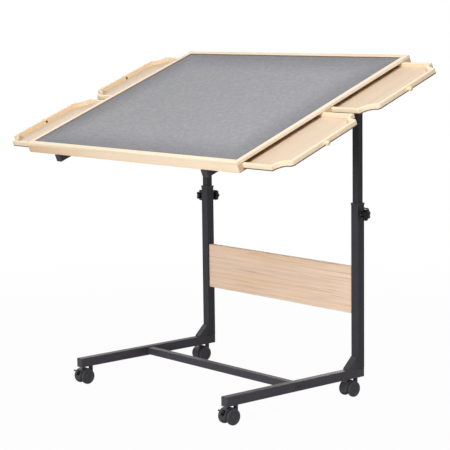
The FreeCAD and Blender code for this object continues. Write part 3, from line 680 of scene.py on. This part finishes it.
def makeFelt():
    # pressed felt: dark and light fibres at two sizes over slow clouds, with a nap that catches the light
    material, tree, shader, here = newFinish("greyFelt")
    tones = ("dark", "mid", "light", "paintedEdgeShade", "joint")
    dark, mid, light, paintedEdgeShade, rimShadowTone = (tint(*feltLook[key]) for key in tones)
    heather = noise(tree, here, feltLook["heatherScale"], 4.0, 0.75)
    hairs = noise(tree, here, feltLook["hairScale"], 3.0, 0.7)
    mottle = noise(tree, here, feltLook["mottleScale"], 3.0, 0.7)
    clouds = noise(tree, here, feltLook["cloudScale"], 3.0, 0.6)
    colour = blendColours(tree, remap(tree, heather, *feltLook["heatherSpread"], 0.0, 1.0), dark, mid)
    for pattern, key, tone in ((hairs, "hair", light), (mottle, "mottle", dark), (clouds, "cloud", dark)):
        share = remap(tree, pattern, *feltLook[key + "Spread"], 0.0, feltLook[key + "Share"])
        colour = blendColours(tree, share, colour, tone)
    place = slopePlace(tree, here)[1]
    fromSides = sums(tree, "SUBTRACT", board["halfWidth"], magnitude(tree, place[0]))
    fromBack = sums(tree, "SUBTRACT", board["depth"], place[1])
    fromFront = sums(tree, "ADD", place[1], feltLook["frontEase"])
    inside = sums(tree, "MINIMUM", sums(tree, "MINIMUM", fromSides, fromBack), fromFront)
    paintedShadeReach = (board["rim"], feltLook["paintedShadeReach"])
    # painted shade: the felt darkens towards the rim, and a painted shadow line runs right along it
    for tone, reach in ((paintedEdgeShade, paintedShadeReach), (rimShadowTone, feltLook["rimShadowReach"])):
        share = remap(tree, inside, *reach, 1.0, 0.0, smooth=True)
        colour = blendColours(tree, share, colour, tone, "MULTIPLY")
    roughness = remap(tree, heather, *noiseSpread, *feltLook["roughness"])
    wire(tree, (colour, shader.inputs["Base Color"]), (roughness, shader.inputs["Roughness"]))
    shader.inputs["Specular IOR Level"].default_value = feltLook["specular"]
    shader.inputs["Sheen Weight"].default_value = feltLook["sheen"]
    shader.inputs["Sheen Roughness"].default_value = feltLook["sheenRoughness"]
    bumpInto(tree, shader, sums(tree, "ADD", hairs, heather), feltLook["bump"], feltLook["bumpDepth"])
    return material


greyFelt = makeFelt()
print("finishes:", len(boardWoods) + len(coatings) + 2)


def nodesEnding(*endings):
    return [name for name in nodes if name.endswith(endings)]


# Which finish each CAD node wears
tubes = [stem + side for stem in ("lower_post_", "upper_post_", "rail_", "tilt_bracket_") for side in sides]
wears = {
    boardWoods["pineAcross"]: ["rim_front", "rim_back", "cross_rail"],
    boardWoods["pineDeep"]: ["rim_left", "rim_right", "centre_spines"],
    boardWoods["pineApron"]: ["front_apron", "back_apron"],
    boardWoods["hardPanel"]: ["top_panel", "bottom_panel"],
    boardWoods["trayPanel"]: nodesEnding("_floor"),
    boardWoods["pinePull"]: nodesEnding("_pull"),
    oakBoard: ["stretcher_board"],
    coatings["blackCoat"]: tubes,
    # the feet, the cross bar and the gussets wear the lighter copy of the black coat: painted light
    coatings["blackCoatLit"]: ["foot_left", "foot_right", "cross_bar", "post_gussets"],
    coatings["capMoulded"]: ["foot_caps"],
    coatings["moulded"]: ["post_collars", "rail_caps", *nodesEnding("_hood", "_brake")],
    coatings["knobMoulded"]: [name for name in nodes if "_knob_" in name],
    coatings["wheelTread"]: nodesEnding("_wheels"),
    coatings["zincSteel"]: ["rail_screws"],
    coatings["boltBlack"]: ["base_bolts", "post_rivets", "pivot_bolts"],
    greyFelt: ["felt"],
}
for finish, members in wears.items():
    for member in members:
        for place in nodes[member].material_slots:
            place.material = finish
bare = sorted(set(nodes) - {member for members in wears.values() for member in members})
print("nodes that scene pieces replace:", bare)


# Felt: laid on the panel inside the rim
felt = {
    "edge": board["rim"] + 0.0003,  # a hair of room inside the rim
    "thickness": 0.0012,
    "roll": 0.0016,  # how far from its cut edge the felt rounds down to the panel
    "rollSteps": (0.0, 0.12, 0.3, 0.6, 1.0),
    "swell": 0.00006,
    "waves": ((31.0, 1.3, 27.0, 0.0), (83.0, 0.0, 71.0, 0.6)),  # radians per metre and start, in x and in s
    "rows": 90,
    "columns": 120,
}


def feltAxis(low, high, count):
    # even steps, with close ones along both cut edges
    close = felt["roll"] * np.array(felt["rollSteps"])
    return np.concatenate([low + close, np.linspace(low, high, count)[2:-2], high - close[::-1]])


def makeFeltSheet():
    # height over the panel: full thickness with a slow swell, falling along a quarter round at the cut edge
    halfWidth = board["halfWidth"] - felt["edge"]
    x = feltAxis(-halfWidth, halfWidth, felt["columns"])[:, None]
    s = feltAxis(felt["edge"], board["depth"] - felt["edge"], felt["rows"])[None, :]
    inFromX = board["halfWidth"] - felt["edge"] - np.abs(x)
    inFromS = np.minimum(s - felt["edge"], board["depth"] - felt["edge"] - s)
    inside = np.clip(np.minimum(inFromX, inFromS) / felt["roll"], 0.0, 1.0)
    rounded = np.sqrt(1.0 - (1.0 - inside) ** 2)
    slow, quick = (np.sin(x * perX + atX) * np.sin(s * perS + atS) for perX, atX, perS, atS in felt["waves"])
    n = board["panelTop"] + rounded * (felt["thickness"] + felt["swell"] * (slow + quick - 2))
    piece = surfacePiece("feltSheet", [onBoard(x, s, n)], loop=False, capped=False, smoothDeg=80.0)
    piece.data.materials.append(greyFelt)
    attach(piece, "board")
    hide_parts("felt")


makeFeltSheet()
print("felt laid")


# Drawer walls: eased edges, butted at the back and at the shaped front
drawer = {
    "frontX": board["halfWidth"],  # pushed in
    "backX": 0.021,
    "bottom": -0.0237,
    "height": 0.014,
    "wall": 0.009,
    "floor": 0.003,
    "rebate": 0.004,
    "cove": 0.029,
    "nose": 0.0095,
    "topRound": 0.0016,
    "bottomRound": 0.0009,
    "roundSteps": 6,
    "coveSteps": 14,
    "noseSteps": 8,
    "bays": {
        # name: near edge, length, how far it is drawn out
        "front": (0.015800, 0.292532, 0.139),
        "rear": (0.331932, 0.283268, 0.134),
    },
}


def wallProfile():
    # loop of (inset, height): outer foot, rounded top, inner face, and the rebate that the floor sits in
    quarter = np.linspace(0.0, math.pi / 2, drawer["roundSteps"])
    foot, top = drawer["bottomRound"], drawer["topRound"]
    wall, height = drawer["wall"], drawer["height"]
    outerFoot = np.stack([foot - foot * np.sin(quarter), foot - foot * np.cos(quarter)], axis=1)
    outerTop = np.stack([top - top * np.cos(quarter), height - top + top * np.sin(quarter)], axis=1)
    innerTop = np.stack([wall - top + top * np.sin(quarter), height - top + top * np.cos(quarter)], axis=1)
    ledge, floor = wall - drawer["rebate"], drawer["floor"]
    step = np.array([[wall, floor], [ledge, floor], [ledge, 0.0]])
    return np.concatenate([outerFoot, outerTop, innerTop, step])


def frontPlan(inset):
    # half of the shaped front drawn in by an inset: butt joint, cove round the corner, nose, straight front
    inset = inset[None, :]
    coveX = drawer["frontX"] - drawer["nose"]
    cove, nose = drawer["cove"] + inset, drawer["nose"] - inset
    swing = np.linspace(0.0, 1.0, drawer["coveSteps"])[:, None]
    start = np.arcsin(inset / cove)
    angle = start + swing * (math.pi / 2 - start)
    coveRun = np.stack([coveX - cove * np.cos(angle), cove * np.sin(angle)], axis=-1)
    bend = np.linspace(0.0, math.pi / 2, drawer["noseSteps"])[1:, None]
    noseS = drawer["cove"] + drawer["nose"]
    noseRun = np.stack([coveX + nose * np.sin(bend), noseS - nose * np.cos(bend)], axis=-1)
    joint = np.stack([np.full_like(inset, coveX - drawer["cove"] - drawer["wall"]), inset], axis=-1)
    return np.concatenate([joint, coveRun, noseRun])


def mirroredPlan(half, length):
    # the far half is the near one turned end for end
    far = half[::-1].copy()
    far[..., 1] = length - far[..., 1]
    return np.concatenate([half, far])


def drawerPoints(plan, heights, side, bay):
    nearEdge, length, drawn = drawer["bays"][bay]
    n = drawer["bottom"] + heights[None, :]
    return onBoard(side * (drawn + plan[..., 0]), nearEdge + plan[..., 1], n)


def makeDrawerWalls(bay, sideName, side):
    # the profile carried along the straight sides and back, and round the shaped front
    profile = wallProfile()
    inset, heights = profile[:, 0], profile[:, 1]
    length = drawer["bays"][bay][1]
    jointX = drawer["frontX"] - drawer["nose"] - drawer["cove"] - drawer["wall"]
    ends = np.array([drawer["backX"], jointX])[:, None] * np.ones_like(inset)
    nearSide = np.stack([ends, np.broadcast_to(inset, ends.shape)], axis=-1)
    farSide = np.stack([ends, length - np.broadcast_to(inset, ends.shape)], axis=-1)
    butts = np.array([drawer["wall"], length - drawer["wall"]])[:, None] * np.ones_like(inset)
    back = np.stack([np.broadcast_to(drawer["backX"] + inset, butts.shape), butts], axis=-1)
    front = mirroredPlan(frontPlan(inset), length)
    name = "drawer" + bay.capitalize() + sideName.capitalize()
    body = "drawer_" + bay + "_" + sideName
    # painted light and shade: the left drawers' ends wear the darker copy, the right ones the paler copy
    endWood = "pineFrontShaded" if side < 0 else "pineFrontLit"
    groups = (("Sides", (nearSide, farSide), "pineSide"), ("Ends", (front, back), endWood))
    for label, plans, finish in groups:
        grids = [drawerPoints(plan, heights, side, bay) for plan in plans]
        piece = surfacePiece(name + label, grids, loop=True, capped=True)
        piece.data.materials.append(boardWoods[finish])
        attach(piece, body)
        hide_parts(body + "_frame")
    return body, name


# Screw of each pull: a domed head on the inner face of the drawer front
pullScrew = {
    "radius": 0.0034,
    "dome": 0.0016,
    "slotHalf": 0.00045,
    "slotReach": 0.0021,
    "slotDepth": 0.0009,
    "rings": 15,
    "turnSteps": 48,
}


def makePullScrew(bay, side, body, name):
    # height of the head over its radius: a flat dome, less a cross cut that ends short of the rim
    share = np.linspace(1.0, 0.0, pullScrew["rings"])[:, None]
    radius, angle = pullScrew["radius"] * share, fullTurn(pullScrew["turnSteps"])
    across, along = radius * np.cos(angle), radius * np.sin(angle)
    dome = pullScrew["dome"] * np.sqrt(1.0 - share ** 2)
    inCross = np.minimum(np.abs(across), np.abs(along)) < pullScrew["slotHalf"]
    cut = np.where(inCross & (np.hypot(across, along) < pullScrew["slotReach"]), pullScrew["slotDepth"], 0.0)
    nearEdge, length, drawn = drawer["bays"][bay]
    x = side * (drawn + drawer["frontX"] - drawer["wall"] - np.maximum(dome - cut, 0.0))
    s = nearEdge + length / 2 + across
    n = drawer["bottom"] + drawer["height"] / 2 + along
    piece = surfacePiece(name + "PullScrew", [onBoard(x, s, n)], loop=True, capped=True, smoothDeg=50.0)
    piece.data.materials.append(coatings["screwBronze"])
    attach(piece, body)


for bay in drawer["bays"]:
    for sideName, side in sides.items():
        makePullScrew(bay, side, *makeDrawerWalls(bay, sideName, side))
print("drawers walled")


# Studs of the post knobs: the bit of zinc thread that shows between post and knob
stud = {
    "knobLength": 0.0190,  # neck and head, from the tip back to the stud
    "shown": 0.0048,
    "radius": 0.0043,
    "pitch": 0.0012,
    "depth": 0.00045,
    "rows": 33,
    "turnSteps": 40,
}


def makeStud(node, out, across, up):
    # radius over the length: a wave that climbs one pitch in each turn round the stud
    low, high = (np.array(corner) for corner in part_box(node))
    tip = (low + high) / 2 + out * (high - low) / 2
    reach = stud["shown"] * np.linspace(0.0, 1.0, stud["rows"])[:, None]
    angle = fullTurn(stud["turnSteps"])
    wave = np.cos(2 * math.pi * reach / stud["pitch"] - angle)
    radius = stud["radius"] - stud["depth"] * (0.5 + 0.5 * wave)
    sideways = (radius * np.cos(angle))[..., None] * across + (radius * np.sin(angle))[..., None] * up
    points = tip - out * (stud["knobLength"] + reach[..., None]) + sideways
    piece = surfacePiece(node.replace("_", ".") + ".stud", [points], loop=True, capped=True, smoothDeg=60.0)
    piece.data.materials.append(coatings["zincSteel"])
    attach(piece, node)


xAxis, yAxis, zAxis = np.eye(3)
for sideName, side in sides.items():
    makeStud("post_knob_outer_" + sideName, side * xAxis, yAxis, zAxis)
    makeStud("post_knob_rear_" + sideName, yAxis, xAxis, zAxis)
print("knob studs shown")


# Studio: white floor and world to the camera, soft lamps on the object
studio = {
    "floorHalf": 14.0,
    "floorColour": (190, 190, 190),
    "floorRoughness": 0.9,
    "worldStrength": 0.29,
    "floorWhite": 0.97,  # share of plain white that the camera sees in the floor; the rest keeps the shadow
    "fadeFrom": 1.2,
    "fadeTo": 3.2,  # distance from the middle where the floor is plain white
    "lamps": {
        # name: place, aim, size, watts
        "keyLamp": ((1.75, -0.8, 3.2), (0.1, 0.0, 0.6), 1.6, 52.0),
        "frontLamp": ((1.5, -4.4, 1.2), (0.0, 0.0, 0.5), 1.8, 138.0),
        "rearLamp": ((-1.5, 3.2, 1.3), (0.0, 0.0, 0.5), 2.0, 45.0),
        "sideLamp": ((-3.3, 1.0, 2.0), (0.1, 0.0, 0.75), 1.8, 38.0),
    },
}


def cameraOrMirror(tree):
    # 1 for rays from the camera or off a mirror, so that polished parts see the same white
    path = put(tree, "ShaderNodeLightPath").outputs
    seen = sums(tree, "MAXIMUM", path["Is Camera Ray"], path["Is Glossy Ray"])
    return sums(tree, "MAXIMUM", seen, path["Is Transmission Ray"])


def makeStudio():
    world = bpy.data.worlds.new("paleStudio")
    bpy.context.scene.world = world
    world.use_nodes = True
    tree = world.node_tree
    air = tree.nodes["Background"]
    air.inputs["Color"].default_value = (1.0, 1.0, 1.0, 1.0)
    strength = remap(tree, cameraOrMirror(tree), 0.0, 1.0, studio["worldStrength"], 1.0)
    wire(tree, (strength, air.inputs["Strength"]))
    reach = np.array([-studio["floorHalf"], studio["floorHalf"]])
    flat = np.stack(np.broadcast_arrays(reach[:, None], reach[None, :], 0.0), axis=-1)
    floor = surfacePiece("studioFloor", [flat], loop=False, capped=False)
    material, tree, shader, here = newFinish("floorPaint")
    shader.inputs["Base Color"].default_value = tint(*studio["floorColour"])
    shader.inputs["Roughness"].default_value = studio["floorRoughness"]
    shader.inputs["Specular IOR Level"].default_value = 0.0
    white = put(tree, "ShaderNodeEmission", {"Color": (1.0, 1.0, 1.0, 1.0), "Strength": 1.0})
    away = put(tree, "ShaderNodeVectorMath", operation="LENGTH")
    wire(tree, (here, away.inputs[0]))
    fadeReach = (studio["fadeFrom"], studio["fadeTo"])
    fade = remap(tree, away.outputs["Value"], *fadeReach, studio["floorWhite"], 1.0, smooth=True)
    share = put(tree, "ShaderNodeMixShader")
    wire(
        tree,
        (sums(tree, "MULTIPLY", cameraOrMirror(tree), fade), share.inputs[0]),
        (shader.outputs[0], share.inputs[1]),
        (white.outputs[0], share.inputs[2]),
        (share.outputs[0], tree.nodes["Material Output"].inputs["Surface"]),
    )
    floor.data.materials.append(material)
    for name, (place, aim, size, watts) in studio["lamps"].items():
        light = bpy.data.lights.new(name, "AREA")
        light.shape = "DISK"
        light.size = size
        light.energy = watts
        lamp = bpy.data.objects.new(name, light)
        back = np.array(place) - np.array(aim)
        back = back / np.linalg.norm(back)
        right = np.cross((0.0, 0.0, 1.0), back)
        right = right / np.linalg.norm(right)
        pose = np.eye(4)
        pose[:3, 0], pose[:3, 1], pose[:3, 2], pose[:3, 3] = right, np.cross(back, right), back, place
        lamp.matrix_world = Matrix(pose.tolist())
        lamp.visible_camera = False
        bpy.context.scene.collection.objects.link(lamp)
    bpy.context.scene.view_settings.view_transform = "Standard"


makeStudio()
print("studio lit")
